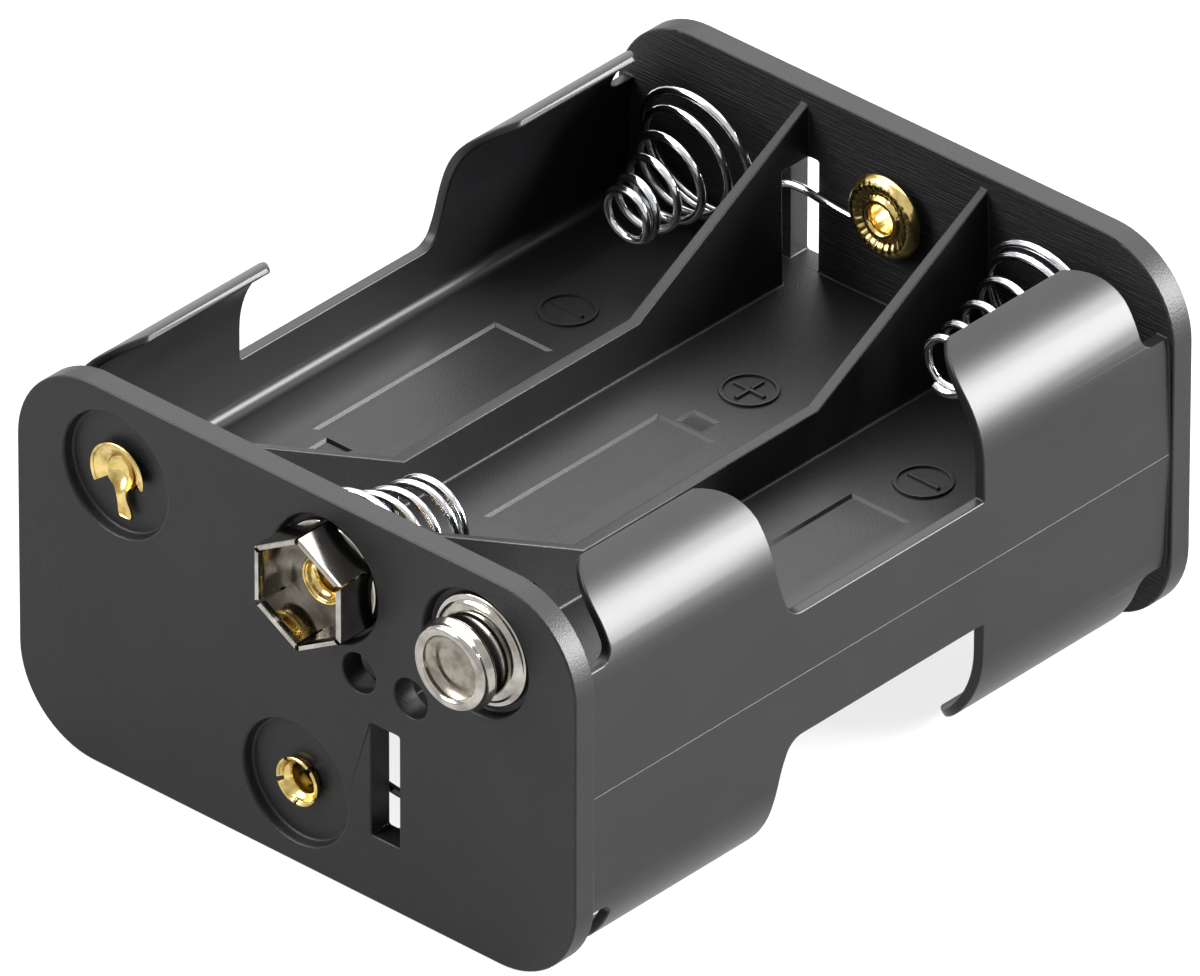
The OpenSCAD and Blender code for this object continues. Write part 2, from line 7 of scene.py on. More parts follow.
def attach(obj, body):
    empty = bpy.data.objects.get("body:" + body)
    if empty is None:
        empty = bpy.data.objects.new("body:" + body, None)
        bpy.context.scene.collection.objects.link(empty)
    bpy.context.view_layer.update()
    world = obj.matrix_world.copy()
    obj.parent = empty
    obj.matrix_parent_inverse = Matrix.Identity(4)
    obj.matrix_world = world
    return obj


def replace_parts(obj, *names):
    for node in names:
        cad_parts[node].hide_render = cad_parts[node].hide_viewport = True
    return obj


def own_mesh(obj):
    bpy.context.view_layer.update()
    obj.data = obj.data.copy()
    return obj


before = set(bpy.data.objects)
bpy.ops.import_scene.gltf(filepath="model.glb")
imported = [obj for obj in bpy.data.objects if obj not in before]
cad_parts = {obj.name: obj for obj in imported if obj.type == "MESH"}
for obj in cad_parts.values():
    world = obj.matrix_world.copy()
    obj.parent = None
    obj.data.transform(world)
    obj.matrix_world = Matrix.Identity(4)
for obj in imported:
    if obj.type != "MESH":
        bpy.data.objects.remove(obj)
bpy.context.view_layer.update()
mm = 0.001

# Where the holder's main faces lie, in millimetres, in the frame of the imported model
holder = {
    "frontFace": -27.7, "rearFace": 30.3, "plateThickness": 1.8, "middleHeight": 14.1,
    "webThickness": 1.8, "bayPitch": 15.3, "cellHeight": 8.15, "socketX": 2.6,
    "recessDepth": 0.75, "terminalSheet": 0.35, "wallOut": 23.55,
    "sink": 0.03,   # how far small added shapes reach into the wall they stand on
}
frontInner = holder["frontFace"] + holder["plateThickness"]
rearInner = holder["rearFace"] - holder["plateThickness"]
pitch = holder["bayPitch"]
recessFloor = holder["recessDepth"] - holder["plateThickness"]   # from the inner face of a plate
print("frame loaded")


def linearColour(hexText):
    channels = [int(hexText[i:i + 2], 16) / 255 for i in (1, 3, 5)]
    linear = [c / 12.92 if c <= 0.04045 else ((c + 0.055) / 1.055) ** 2.4 for c in channels]
    return (*linear, 1.0)


# settings are attributes or input values; links come from other nodes' outputs
def addNode(tree, kind, settings=None, links=None):
    node = tree.nodes.new(kind)
    for key, value in (settings or {}).items():
        if isinstance(key, str) and hasattr(node, key):
            setattr(node, key, value)
        else:
            node.inputs[key].default_value = value
    for key, source in (links or {}).items():
        tree.links.new(source, node.inputs[key])
    return node


def newMaterial(name):
    material = bpy.data.materials.new(name)
    material.use_nodes = True
    tree = material.node_tree
    tree.nodes.clear()
    output = tree.nodes.new("ShaderNodeOutputMaterial")
    return material, tree, output


# A piece that build(shape) fills; edges sharper than smoothAngle, in degrees, stay sharp in the shading
def meshObject(name, build, material, smoothAngle):
    mesh = bpy.data.meshes.new(name)
    shape = bmesh.new()
    build(shape)
    bmesh.ops.recalc_face_normals(shape, faces=shape.faces)
    for face in shape.faces:
        face.smooth = True
    for edge in shape.edges:
        if len(edge.link_faces) == 2 and edge.calc_face_angle(0) > math.radians(smoothAngle):
            edge.smooth = False
    shape.to_mesh(mesh)
    shape.free()
    mesh.materials.append(material)
    piece = bpy.data.objects.new(name, mesh)
    bpy.context.scene.collection.objects.link(piece)
    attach(piece, "holder")
    return piece


# Joins rings of points into a tube; an open one gets a face at both ends
def joinRings(shape, rings, closed=False):
    count = len(rings[0])
    for a, b in zip(rings, rings[1:] + rings[:1] if closed else rings[1:]):
        for k in range(count):
            shape.faces.new((a[k], a[(k + 1) % count], b[(k + 1) % count], b[k]))
    if not closed:
        shape.faces.new(rings[0])
        shape.faces.new(list(reversed(rings[-1])))


# A profile of (radius, y) turned about +Y; warp(angle, r, y) may move each point
def turnProfile(shape, profile, steps, warp=None):
    rings = []
    for k in range(steps):
        angle = 2 * math.pi * k / steps
        ring = []
        for r, y in profile:
            rr, yy = warp(angle, r, y) if warp else (r, y)
            ring.append(shape.verts.new((rr * math.cos(angle) * mm, yy * mm, rr * math.sin(angle) * mm)))
        rings.append(ring)
    joinRings(shape, rings, closed=True)


def arcPoints(centre, radius, start, stop, steps):
    angles = [math.radians(start + (stop - start) * i / steps) for i in range(steps + 1)]
    return [(centre[0] + radius * math.cos(a), centre[1] + radius * math.sin(a)) for a in angles]


# Stands a piece that was drawn about the Y axis on the wall at y, turned to face it
def standOn(shape, x, y, z, wall):
    place = Matrix.Translation((x * mm, y * mm, z * mm)) @ Matrix.Diagonal((1, -wall, 1, 1))
    bmesh.ops.transform(shape, matrix=place, verts=shape.verts)


# Pattern sizes and depths in millimetres. The IOR is below ABS's usual 1.54, because the fine grain sheds
# part of the mirror image that a smooth face would give. groundReach is how near the rear plate's inner
# face the ground finish starts and ends, tabsFrom the |x| where the polished walls begin, and plateFrom
# the distance from middleY where the plates begin
absLook = {
    "base": "#0c0c0d", "worn": "#141416", "ior": 1.31,
    "roughness": 0.42, "polishedRoughness": 0.36, "groundExtra": 0.2,
    "grainMm": 0.14, "grainDepth": 0.05, "grainStrength": 0.45, "polishedGrain": 0.03, "mottleMm": 6.0,
    "streakMm": 0.13, "streakLengthMm": 4.0, "streakThrough": 0.2,
    "streakDepth": 0.12, "streakStrength": 0.9,
    "groundReach": (0.02, 0.06), "tabsFrom": (17.6, 18.4), "plateFrom": (27.0, 27.2), "middleY": 1.3,
}


def blackAbs():
    # Injection moulded ABS, charcoal black: a spark-eroded grain breaks up the sheen of the flats, drawn
    # coarser than it is so that it shows; the curved walls come from a polished mould and hold a soft
    # highlight, and the inner face of the rear plate shows the fine straight lines of a ground mould
    material, tree, output = newMaterial("blackAbs")
    look = absLook
    where = addNode(tree, "ShaderNodeTexCoord")
    place = where.outputs["Object"]
    apart = addNode(tree, "ShaderNodeSeparateXYZ", links={0: place})

    grain = addNode(tree, "ShaderNodeTexNoise",
                    {"Scale": 1 / (look["grainMm"] * mm), "Detail": 2.0, "Roughness": 0.6},
                    {"Vector": place})
    mottle = addNode(tree, "ShaderNodeTexNoise",
                     {"Scale": 1 / (look["mottleMm"] * mm), "Detail": 3.0}, {"Vector": place})
    colour = addNode(tree, "ShaderNodeMix",
                     {"data_type": "RGBA", 6: linearColour(look["base"]), 7: linearColour(look["worn"])},
                     {0: mottle.outputs["Fac"]})
    stretch = addNode(tree, "ShaderNodeMapping",
                      {"Scale": (look["streakMm"] / look["streakLengthMm"], look["streakThrough"], 1.0)},
                      {"Vector": place})
    streaks = addNode(tree, "ShaderNodeTexNoise",
                      {"Scale": 1 / (look["streakMm"] * mm), "Detail": 3.0}, {"Vector": stretch.outputs[0]})

    # 1 on the rear plate's inner face, 0 elsewhere
    fromRear = addNode(tree, "ShaderNodeMath",
                       {"operation": "SUBTRACT", 1: rearInner * mm}, {0: apart.outputs["Y"]})
    fromRearSize = addNode(tree, "ShaderNodeMath", {"operation": "ABSOLUTE"}, {0: fromRear.outputs[0]})
    groundFace = addNode(tree, "ShaderNodeMapRange",
                         {"From Min": look["groundReach"][0] * mm, "From Max": look["groundReach"][1] * mm,
                          "To Min": 1.0, "To Max": 0.0},
                         {"Value": fromRearSize.outputs[0]})

    # 1 on the side walls and tabs, 0 between them and on the plates
    side = addNode(tree, "ShaderNodeMath", {"operation": "ABSOLUTE"}, {0: apart.outputs["X"]})
    sideMask = addNode(tree, "ShaderNodeMapRange",
                       {"From Min": look["tabsFrom"][0] * mm, "From Max": look["tabsFrom"][1] * mm},
                       {"Value": side.outputs[0]})
    fromMiddle = addNode(tree, "ShaderNodeMath",
                         {"operation": "SUBTRACT", 1: look["middleY"] * mm}, {0: apart.outputs["Y"]})
    fromMiddleSize = addNode(tree, "ShaderNodeMath", {"operation": "ABSOLUTE"}, {0: fromMiddle.outputs[0]})
    plateMask = addNode(tree, "ShaderNodeMapRange",
                        {"From Min": look["plateFrom"][0] * mm, "From Max": look["plateFrom"][1] * mm,
                         "To Min": 1.0, "To Max": 0.0},
                        {"Value": fromMiddleSize.outputs[0]})
    polished = addNode(tree, "ShaderNodeMath", {"operation": "MULTIPLY"},
                       {0: sideMask.outputs[0], 1: plateMask.outputs[0]})

    rough = addNode(tree, "ShaderNodeMapRange",
                    {"To Min": look["roughness"], "To Max": look["polishedRoughness"]},
                    {"Value": polished.outputs[0]})
    rougher = addNode(tree, "ShaderNodeMath", {"operation": "MULTIPLY_ADD", 1: look["groundExtra"]},
                      {0: groundFace.outputs[0], 2: rough.outputs[0]})
    grainShare = addNode(tree, "ShaderNodeMapRange",
                         {"To Min": look["grainStrength"], "To Max": look["polishedGrain"]},
                         {"Value": polished.outputs[0]})
    grainBump = addNode(tree, "ShaderNodeBump", {"Distance": look["grainDepth"] * mm},
                        {"Height": grain.outputs["Fac"], "Strength": grainShare.outputs[0]})
    streakShare = addNode(tree, "ShaderNodeMath",
                          {"operation": "MULTIPLY", 1: look["streakStrength"]}, {0: groundFace.outputs[0]})
    bump = addNode(tree, "ShaderNodeBump", {"Distance": look["streakDepth"] * mm},
                   {"Height": streaks.outputs["Fac"], "Strength": streakShare.outputs[0],
                    "Normal": grainBump.outputs[0]})
    shader = addNode(tree, "ShaderNodeBsdfPrincipled", {"IOR": look["ior"]},
                     {"Base Color": colour.outputs[2], "Roughness": rougher.outputs[0],
                      "Normal": bump.outputs[0]})
    tree.links.new(shader.outputs[0], output.inputs[0])
    return material


# A bright and a duller colour, the roughness, the size of the dull patches in millimetres, and how
# strongly the scratches show
metalLooks = {
    # Nickel plated spring wire: drawn through a die, so it is smooth and bright along its length
    "nickelPlatedWire": {"bright": "#cfd0d2", "dull": "#a9aaad",
                         "roughness": 0.12, "patchMm": 1.4, "scratched": 0.04},
    # Nickel plate over stamped brass: a warm grey mirror, dulled where the tool rubbed
    "nickelPlate": {"bright": "#aaa7a0", "dull": "#85817a",
                    "roughness": 0.12, "patchMm": 1.6, "scratched": 0.04},
    # The same nickel where the rivet's end was pressed flat: rubbed rougher, browner, and drawn darker as
    # painted shade in the stud's hollow
    "rubbedNickelPaintedShade": {"bright": "#8f8a80", "dull": "#6f695e",
                     "roughness": 0.26, "patchMm": 0.8, "scratched": 0.12},
    # Bare brass, pressed over a punch: pale yellow, with small duller patches
    "pressedBrass": {"bright": "#d2bb7a", "dull": "#9c8146",
                     "roughness": 0.18, "patchMm": 0.9, "scratched": 0.10},
}
# Shared by the metals: the scratches' size, drawn coarser than it is so that they show, and their depth,
# both in millimetres; the noise values between which a patch turns dull; and the shares of the roughness
# on bright and on dull metal
metalWear = {"scratchMm": 0.12, "scratchDepth": 0.02, "dullBetween": (0.4, 0.7), "roughShares": (0.8, 1.5)}


def metalFinish(name):
    look, wear = metalLooks[name], metalWear
    material, tree, output = newMaterial(name)
    where = addNode(tree, "ShaderNodeTexCoord")
    place = where.outputs["Object"]
    patches = addNode(tree, "ShaderNodeTexNoise",
                      {"Scale": 1 / (look["patchMm"] * mm), "Detail": 3.0}, {"Vector": place})
    scratches = addNode(tree, "ShaderNodeTexNoise",
                        {"Scale": 1 / (wear["scratchMm"] * mm), "Detail": 2.0}, {"Vector": place})
    dull = addNode(tree, "ShaderNodeMapRange",
                   {"From Min": wear["dullBetween"][0], "From Max": wear["dullBetween"][1]},
                   {"Value": patches.outputs["Fac"]})
    colour = addNode(tree, "ShaderNodeMix",
                     {"data_type": "RGBA", 6: linearColour(look["bright"]), 7: linearColour(look["dull"])},
                     {0: dull.outputs[0]})
    rough = addNode(tree, "ShaderNodeMapRange",
                    {"To Min": look["roughness"] * wear["roughShares"][0],
                     "To Max": look["roughness"] * wear["roughShares"][1]},
                    {"Value": dull.outputs[0]})
    bump = addNode(tree, "ShaderNodeBump",
                   {"Strength": look["scratched"], "Distance": wear["scratchDepth"] * mm},
                   {"Height": scratches.outputs["Fac"]})
    shader = addNode(tree, "ShaderNodeBsdfPrincipled", {"Metallic": 1.0},
                     {"Base Color": colour.outputs[2], "Roughness": rough.outputs[0],
                      "Normal": bump.outputs[0]})
    tree.links.new(shader.outputs[0], output.inputs[0])
    return material


absMaterial = blackAbs()
wireMaterial = metalFinish("nickelPlatedWire")
nickelMaterial = metalFinish("nickelPlate")
# the rivet end's nickel: rubbed, and darkened with painted shade for the stud's hollow
rubbedShadedNickelMaterial = metalFinish("rubbedNickelPaintedShade")
brassMaterial = metalFinish("pressedBrass")
print("materials made")


# Millimetres, with edgeAngle and flatAngle in degrees and plateFace an area in square millimetres.
# An edge with less than edgeRoom beside it stays sharp. cutterRise is how far the pockets' cutter stands
# out of the floor; pocketSlopes are the run of a pocket's wall over its depth, for its left, right, front
# and rear wall
housing = {
    "weldDistance": 0.001, "flatAngle": 0.4, "edgeRadius": 0.13, "edgeSegments": 3, "edgeAngle": 38,
    "edgeRoom": 0.1, "plateFace": 3.0, "plateCosine": 0.99999,
    "footFillet": 0.2, "filletSteps": 6, "partitionHalf": 0.513, "passageLength": 2.6,
    "pocketDepth": 0.2, "cutterRise": 0.06, "pocketSlopes": (0.9, 2.2, 2.2, 0.9),
    "outlineWidth": 5.0, "nubWidth": 2.3, "nubLength": 1.9, "nubGap": 0.12,
}
# Each bay's middle x, the y of its sign, both ends of its cell outline, the end that has the nub, whether
# the sign is a plus, and the layer (1 above, -1 below)
bayMarks = [
    {"x": -15.1, "signY": 14.3, "outline": (-7.0, 10.2), "nubEnd": -1, "plus": False, "layer": 1},
    {"x": -0.15, "signY": 15.0, "outline": (-7.3, 9.1), "nubEnd": 1, "plus": True, "layer": 1},
    {"x": 15.2, "signY": 14.4, "outline": (-7.0, 10.4), "nubEnd": -1, "plus": False, "layer": 1},
    {"x": -15.1, "signY": 14.3, "outline": (-7.0, 10.2), "nubEnd": 1, "plus": True, "layer": -1},
    {"x": -0.15, "signY": 15.0, "outline": (-7.3, 9.1), "nubEnd": -1, "plus": False, "layer": -1},
    {"x": 15.2, "signY": 14.4, "outline": (-7.0, 10.4), "nubEnd": 1, "plus": True, "layer": -1},
]


# The floor of the upper bays at layer 1 and of the lower ones at layer -1
def floorHeight(layer):
    return holder["middleHeight"] + layer * holder["webThickness"] / 2


# A shallow sloping pocket to be cut into a bay's floor; x0 to y1 are its edges on the floor
def addPocket(shape, x0, x1, y0, y1, floorZ, up):
    left, right, front, rear = housing["pocketSlopes"]
    rings = []
    for down in (-housing["cutterRise"], housing["pocketDepth"]):
        corners = [(x0 + left * down, y0 + front * down), (x1 - right * down, y0 + front * down),
                   (x1 - right * down, y1 - rear * down), (x0 + left * down, y1 - rear * down)]
        rings.append([shape.verts.new((x * mm, y * mm, (floorZ - up * down) * mm)) for x, y in corners])
    joinRings(shape, rings)


# The cell outlines moulded into the bay floors, each with the nub of its positive end
def pocketCutter():
    h = housing
    mesh = bpy.data.meshes.new("pocketCutter")
    shape = bmesh.new()
    half, nub = h["outlineWidth"] / 2, h["nubWidth"] / 2
    for bay in bayMarks:
        x, layer = bay["x"], bay["layer"]
        low, high = bay["outline"]
        floorZ = floorHeight(layer)
        addPocket(shape, x - half, x + half, low, high, floorZ, layer)
        if bay["nubEnd"] > 0:
            start, end = high + h["nubGap"], high + h["nubLength"]
        else:
            start, end = low - h["nubLength"], low - h["nubGap"]
        addPocket(shape, x - nub, x + nub, start, end, floorZ, layer)
    bmesh.ops.recalc_face_normals(shape, faces=shape.faces)
    shape.to_mesh(mesh)
    shape.free()
    cutter = bpy.data.objects.new("pocketCutter", mesh)
    bpy.context.scene.collection.objects.link(cutter)
    return cutter


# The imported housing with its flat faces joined, and a weight on each edge that is to be rounded
def weighHousing(sharpAngle):
    h = housing
    shape = bmesh.new()
    shape.from_mesh(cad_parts["housing"].data)
    bmesh.ops.remove_doubles(shape, verts=shape.verts, dist=h["weldDistance"] * mm)
    bmesh.ops.dissolve_limit(shape, angle_limit=math.radians(h["flatAngle"]),
                             verts=shape.verts, edges=shape.edges)
    # only edges with room beside them are rounded, so that no corner is drawn out
    weight = shape.edges.layers.float.new("bevel_weight_edge")
    for edge in shape.edges:
        beside = min(near.calc_length() for corner in edge.verts for near in corner.link_edges)
        if len(edge.link_faces) == 2 and edge.calc_face_angle() > sharpAngle:
            edge[weight] = 1.0 if beside > h["edgeRoom"] * mm else 0.0
    mesh = bpy.data.meshes.new("housingShell")
    shape.to_mesh(mesh)
    shape.free()
    for face in mesh.polygons:
        face.use_smooth = True
    return mesh


# Sharp edges stay sharp in the shading, and the plates' wide faces stay truly flat
def markShading(mesh, sharpAngle):
    shape = bmesh.new()
    shape.from_mesh(mesh)
    for edge in shape.edges:
        edge.smooth = edge.calc_face_angle(0) < sharpAngle
    for face in shape.faces:
        face.normal_update()
        facesPlate = abs(face.normal.y) > housing["plateCosine"]
        face.smooth = not (facesPlate and face.calc_area() > housing["plateFace"] * mm * mm)
    shape.to_mesh(mesh)
    shape.free()


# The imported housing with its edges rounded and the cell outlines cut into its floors
def makeHousing():
    h = housing
    sharpAngle = math.radians(h["edgeAngle"])
    mesh = weighHousing(sharpAngle)
    mesh.materials.append(absMaterial)
    piece = bpy.data.objects.new("housingShell", mesh)
    bpy.context.scene.collection.objects.link(piece)
    bevel = piece.modifiers.new("edges", "BEVEL")
    bevel.width = h["edgeRadius"] * mm
    bevel.segments = h["edgeSegments"]
    bevel.limit_method = "WEIGHT"
    bevel.use_clamp_overlap = False
    bevel.miter_outer = "MITER_ARC"
    cutter = pocketCutter()
    pockets = piece.modifiers.new("pockets", "BOOLEAN")
    pockets.operation = "DIFFERENCE"
    pockets.solver = "EXACT"
    pockets.object = cutter
    bpy.context.view_layer.update()
    cut = bpy.data.meshes.new_from_object(piece.evaluated_get(bpy.context.evaluated_depsgraph_get()))
    markShading(cut, sharpAngle)
    piece.modifiers.clear()
    piece.data = cut
    bpy.data.objects.remove(cutter)
    weighted = piece.modifiers.new("shading", "WEIGHTED_NORMAL")
    weighted.keep_sharp = True
    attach(piece, "holder")
    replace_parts(piece, "housing")


# A thin fillet along the foot of each partition, between the wire passages
def buildFootFillets(shape):
    h = housing
    r, sink = h["footFillet"], holder["sink"]
    section = [(-sink, -sink), (r, -sink)] + arcPoints((r, r), r, 270, 180, h["filletSteps"]) + [(-sink, r)]
    ends = (frontInner + h["passageLength"], rearInner - h["passageLength"])
    for partition in (-1, 1):
        for side in (-1, 1):
            for layer in (-1, 1):
                x = partition * pitch / 2 + side * h["partitionHalf"]
                z = floorHeight(layer)
                joinRings(shape, [[shape.verts.new(((x + side * out) * mm, y * mm, (z + layer * lift) * mm))
                                   for out, lift in section] for y in ends])


makeHousing()
meshObject("partitionFeet", buildFootFillets, absMaterial, smoothAngle=30)
print("housing made")


marks = {"height": 0.2, "sink": 0.04, "signRadius": 1.85, "signWidth": 0.34, "barShare": 0.7,
         "circleSteps": 36, "cornerLimit": 0.3, "partingWidth": 0.1, "partingHeight": 0.012}
# A ridge in section: how far across it as a share of its width, and how high as a share of its height
ridgeTop = [(-0.36, 0.9), (0, 1), (0.36, 0.9)]


# A low ridge with sloping sides along points on a floor; its corners are mitred
def addRidge(shape, points, closed, floorZ, up):
    width, height, sink = marks["signWidth"], marks["height"], marks["sink"]
    profile = [(-0.5, -sink)] + [(out, height * share) for out, share in ridgeTop] + [(0.5, -sink)]
    count = len(points)
    sections = []
    for i, (x, y) in enumerate(points):
        before = points[i - 1] if (closed or i > 0) else None
        after = points[(i + 1) % count] if (closed or i < count - 1) else None
        directions = []
        if before is not None:
            directions.append(Vector((x - before[0], y - before[1])).normalized())
        if after is not None:
            directions.append(Vector((after[0] - x, after[1] - y)).normalized())
        along = sum(directions, Vector((0, 0))).normalized()
        across = Vector((-along.y, along.x))
        stretch = 1 / max(marks["cornerLimit"], across.dot(Vector((-directions[0].y, directions[0].x))))
        ring = []
        for offset, lift in profile:
            p = Vector((x, y)) + across * (offset * width * stretch)
            ring.append(shape.verts.new((p.x * mm, p.y * mm, (floorZ + up * lift) * mm)))
        sections.append(ring)
    joinRings(shape, sections, closed)


# The generic plus and minus signs, each in a ring, as low ridges on the bay floors
def buildMarks(shape):
    m = marks
    steps = m["circleSteps"]
    half, reach = m["signWidth"] / 2, m["signRadius"] * m["barShare"]
    for bay in bayMarks:
        x, y, layer = bay["x"], bay["signY"], bay["layer"]
        floorZ = floorHeight(layer)
        circle = arcPoints((x, y), m["signRadius"], 0, 360 - 360 / steps, steps - 1)
        addRidge(shape, circle, True, floorZ, layer)
        addRidge(shape, [(x - reach, y), (x + reach, y)], False, floorZ, layer)
        if bay["plus"]:
            for side in (-1, 1):
                addRidge(shape, [(x, y + side * half), (x, y + side * reach)], False, floorZ, layer)


# The mould's parting line: a hair of flash along both side walls
def buildPartingLine(shape):
    half = marks["partingWidth"] / 2
    section = [(-holder["sink"], -half), (marks["partingHeight"], 0), (-holder["sink"], half)]
    for side in (-1, 1):
        joinRings(shape, [[shape.verts.new((side * (holder["wallOut"] + out) * mm, y * mm,
                                            (holder["middleHeight"] + z) * mm))
                           for out, z in section] for y in (frontInner, rearInner)])


meshObject("floorMarks", buildMarks, absMaterial, smoothAngle=20)
meshObject("partingLine", buildPartingLine, absMaterial, smoothAngle=20)
print("marks made")


# Millimetres, with turns counted from the base and eyeSweep in degrees; tilt is how far the base turn
# slants, and taper the power by which the coil narrows. Under an eyelet's head the wire lies eyeHeight
# over the wall, and underHead is its straight stretch there before the eye
spring = {
    "wireRadius": 0.3, "endReach": 0.12, "endShare": 0.8, "baseRadius": 4.8,
    "turns": 6.0, "baseTurns": 1.5, "tipTurns": 1.0, "closeRise": 0.65,
    "evenTurns": 0.75, "taper": 2.0, "tilt": 1.0, "eyeRadius": 1.6, "eyeHeight": 0.35, "eyeSweep": 300,
    "underHead": 3.1377, "pressedHeight": 2.45,
    "turnSteps": 40, "linkSteps": 26, "eyeSteps": 30, "sides": 14,
}
# shift and drop: the base turn from its cell's axis; lean and sway: its tip from the base;
# leave and arrive: the wire's heading at both ends of the link; reach: the linked eyelet from the cell's
# axis
springKinds = {
    "side": {"height": 9.3, "stand": 1.45, "tipRadius": 1.85, "shift": 0.4, "drop": 1.0,
             "lean": 1.6, "sway": 0.0, "leave": -28, "arrive": 0, "reach": (pitch, 0.0)},
    "web": {"height": 11.9, "stand": 1.45, "tipRadius": 1.85, "shift": -0.8, "drop": 0.3,
            "lean": -0.2, "sway": 0.2, "leave": -118, "arrive": -90,
            "reach": (0.0, -2 * holder["cellHeight"])},
    "ring": {"height": 10.9, "stand": 1.8, "tipRadius": 2.8, "shift": 1.6, "drop": 1.4,
             "lean": 0.8, "sway": -1.2, "leave": -75, "arrive": 90, "reach": (holder["socketX"], 0.0)},
}
# The kind, its cell's x, wall (-1 front, 1 rear), layer (1 above, -1 below), hand
springPlaces = {
    "top_left": ("side", -pitch, 1, 1, 1),
    "top_middle": ("ring", 0, -1, 1, 1),
    "top_right": ("web", pitch, 1, 1, 1),
    "bottom_left": ("web", -pitch, -1, -1, 1),
    "bottom_middle": ("side", 0, 1, -1, -1),
    "bottom_right": ("side", pitch, -1, -1, -1),
}


# The coil's wire at turn n, from the base turn at 0 to the tip
def coilPoint(kind, n):
    s = spring
    top = kind["height"] - s["wireRadius"]
    low = kind["stand"] + s["closeRise"] * s["baseTurns"]
    high = top - s["closeRise"] * s["tipTurns"]
    last = s["turns"] - s["tipTurns"]
    if n < s["baseTurns"]:
        y = kind["stand"] + s["closeRise"] * n
    elif n < last:
        y = low + (high - low) * (n - s["baseTurns"]) / (last - s["baseTurns"])
    else:
        y = high + s["closeRise"] * (n - last)
    left = (s["turns"] - max(n, s["evenTurns"])) / (s["turns"] - s["evenTurns"])
    radius = kind["tipRadius"] + (s["baseRadius"] - kind["tipRadius"]) * max(0, left) ** s["taper"]
    angle = math.radians(kind["leave"] - 360 * n)
    share = (y - kind["stand"]) / (top - kind["stand"])
    tilt = s["tilt"] * max(0, 1 - n / last)
    return Vector((radius * math.cos(angle) + kind["sway"] * share, y + tilt * math.sin(angle),
                   radius * math.sin(angle) - kind["lean"] * share))


def curvePoint(a, b, c, d, t):
    return (1 - t) ** 3 * a + 3 * (1 - t) ** 2 * t * b + 3 * (1 - t) * t * t * c + t ** 3 * d


# The whole wire, from the coil's tip over its base and the link to the eye under the next eyelet's head
def springPath(kind):
    s = spring
    count = int(s["turns"] * s["turnSteps"])
    path = [coilPoint(kind, i / s["turnSteps"]) for i in range(count, -1, -1)]
    arrive, leave = math.radians(kind["arrive"]), math.radians(kind["leave"])
    endX, endZ = kind["reach"][0] - kind["shift"], kind["reach"][1] + kind["drop"]
    radius, height = s["eyeRadius"], s["eyeHeight"]
    way = Vector((math.cos(arrive), 0, math.sin(arrive)))
    finish = Vector((endX + radius * math.sin(arrive), height, endZ - radius * math.cos(arrive)))
    rim = finish - way * s["underHead"]
    start = path[-1]
    reach = (rim - start).length / 2
    ahead = Vector((start.x - reach * math.sin(leave), height, start.z + reach * math.cos(leave)))
    back = rim - way * reach
    for i in range(1, s["linkSteps"] + 1):
        path.append(curvePoint(start, ahead, back, rim, i / s["linkSteps"]))
    path.append(finish)
    for i in range(1, s["eyeSteps"] + 1):
        t = arrive - math.pi / 2 + math.radians(s["eyeSweep"]) * i / s["eyeSteps"]
        path.append(Vector((endX + radius * math.cos(t), height, endZ + radius * math.sin(t))))
    return path


# A round wire along a path, its two cut ends slightly rounded
def sweepWire(shape, path, place):
    s = spring
    radius = s["wireRadius"]
    turns = [2 * math.pi * k / s["sides"] for k in range(s["sides"])]
    last = len(path) - 1

    def ringAt(point, u, v, r):
        return [shape.verts.new(place(point + r * (math.cos(t) * u + math.sin(t) * v))) for t in turns]

    rings = []
    for i, point in enumerate(path):
        along = (path[min(i + 1, last)] - path[max(i - 1, 0)]).normalized()
        u = along.cross(Vector((0, 1, 0))).normalized()
        v = along.cross(u)
        beyond = along * radius * s["endReach"]
        if i == 0:
            rings.append(ringAt(point - beyond, u, v, radius * s["endShare"]))
        rings.append(ringAt(point, u, v, radius))
        if i == last:
            rings.append(ringAt(point + beyond, u, v, radius * s["endShare"]))
    joinRings(shape, rings)


def makeSpring(name, kindName, x, wall, layer, hand):
    kind = springKinds[kindName]
    wallY = rearInner if wall > 0 else frontInner
    baseX = x + hand * kind["shift"]
    baseZ = holder["middleHeight"] + layer * (holder["cellHeight"] - kind["drop"])

    def place(p):
        return Vector(((baseX + hand * p.x) * mm, (wallY - wall * p.y) * mm, (baseZ + layer * p.z) * mm))

    path = springPath(kind)
    piece = meshObject("spring_" + name + "_wire", lambda shape: sweepWire(shape, path, place),
                       wireMaterial, smoothAngle=50)
    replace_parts(piece, "spring_" + name)
    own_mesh(piece)


for name, values in springPlaces.items():
    makeSpring(name, *values)
print("springs made")


# The eyelets' numbers: sizes in millimetres, tearFrom and tearTo in degrees around the torn one.
# The flutes begin fluteStart out from the bore and end fluteStop in from the rim; they rise and fall over
# fluteRise and fluteFall. Where the flared end is split or torn, only a rim stays, missingInset inside
# the foot's radius and missingRise beyond its level
eyelet = {
    "bore": 1.0, "barrel": 1.25, "head": 3.0, "headHeight": 0.75, "lift": 0.7,
    "foot": 1.55, "footRound": 0.06, "cupHeight": 0.7, "cupSheet": 0.25, "cupBend": 1.3, "steps": 180,
    "flutes": 26, "fluteDepth": 0.055, "fluteUneven": 1.3,
    "fluteStart": 0.5, "fluteRise": 0.3, "fluteStop": 0.25, "fluteFall": 0.5,
    "splitWidth": 0.25, "tearFrom": 212, "tearTo": 352,
    "missingInset": 0.2, "missingRise": 0.12, "jagged": 0.06, "oval": 0.03,
}
narrowSplits = [-72 * (i + 0.3) for i in range(5)]
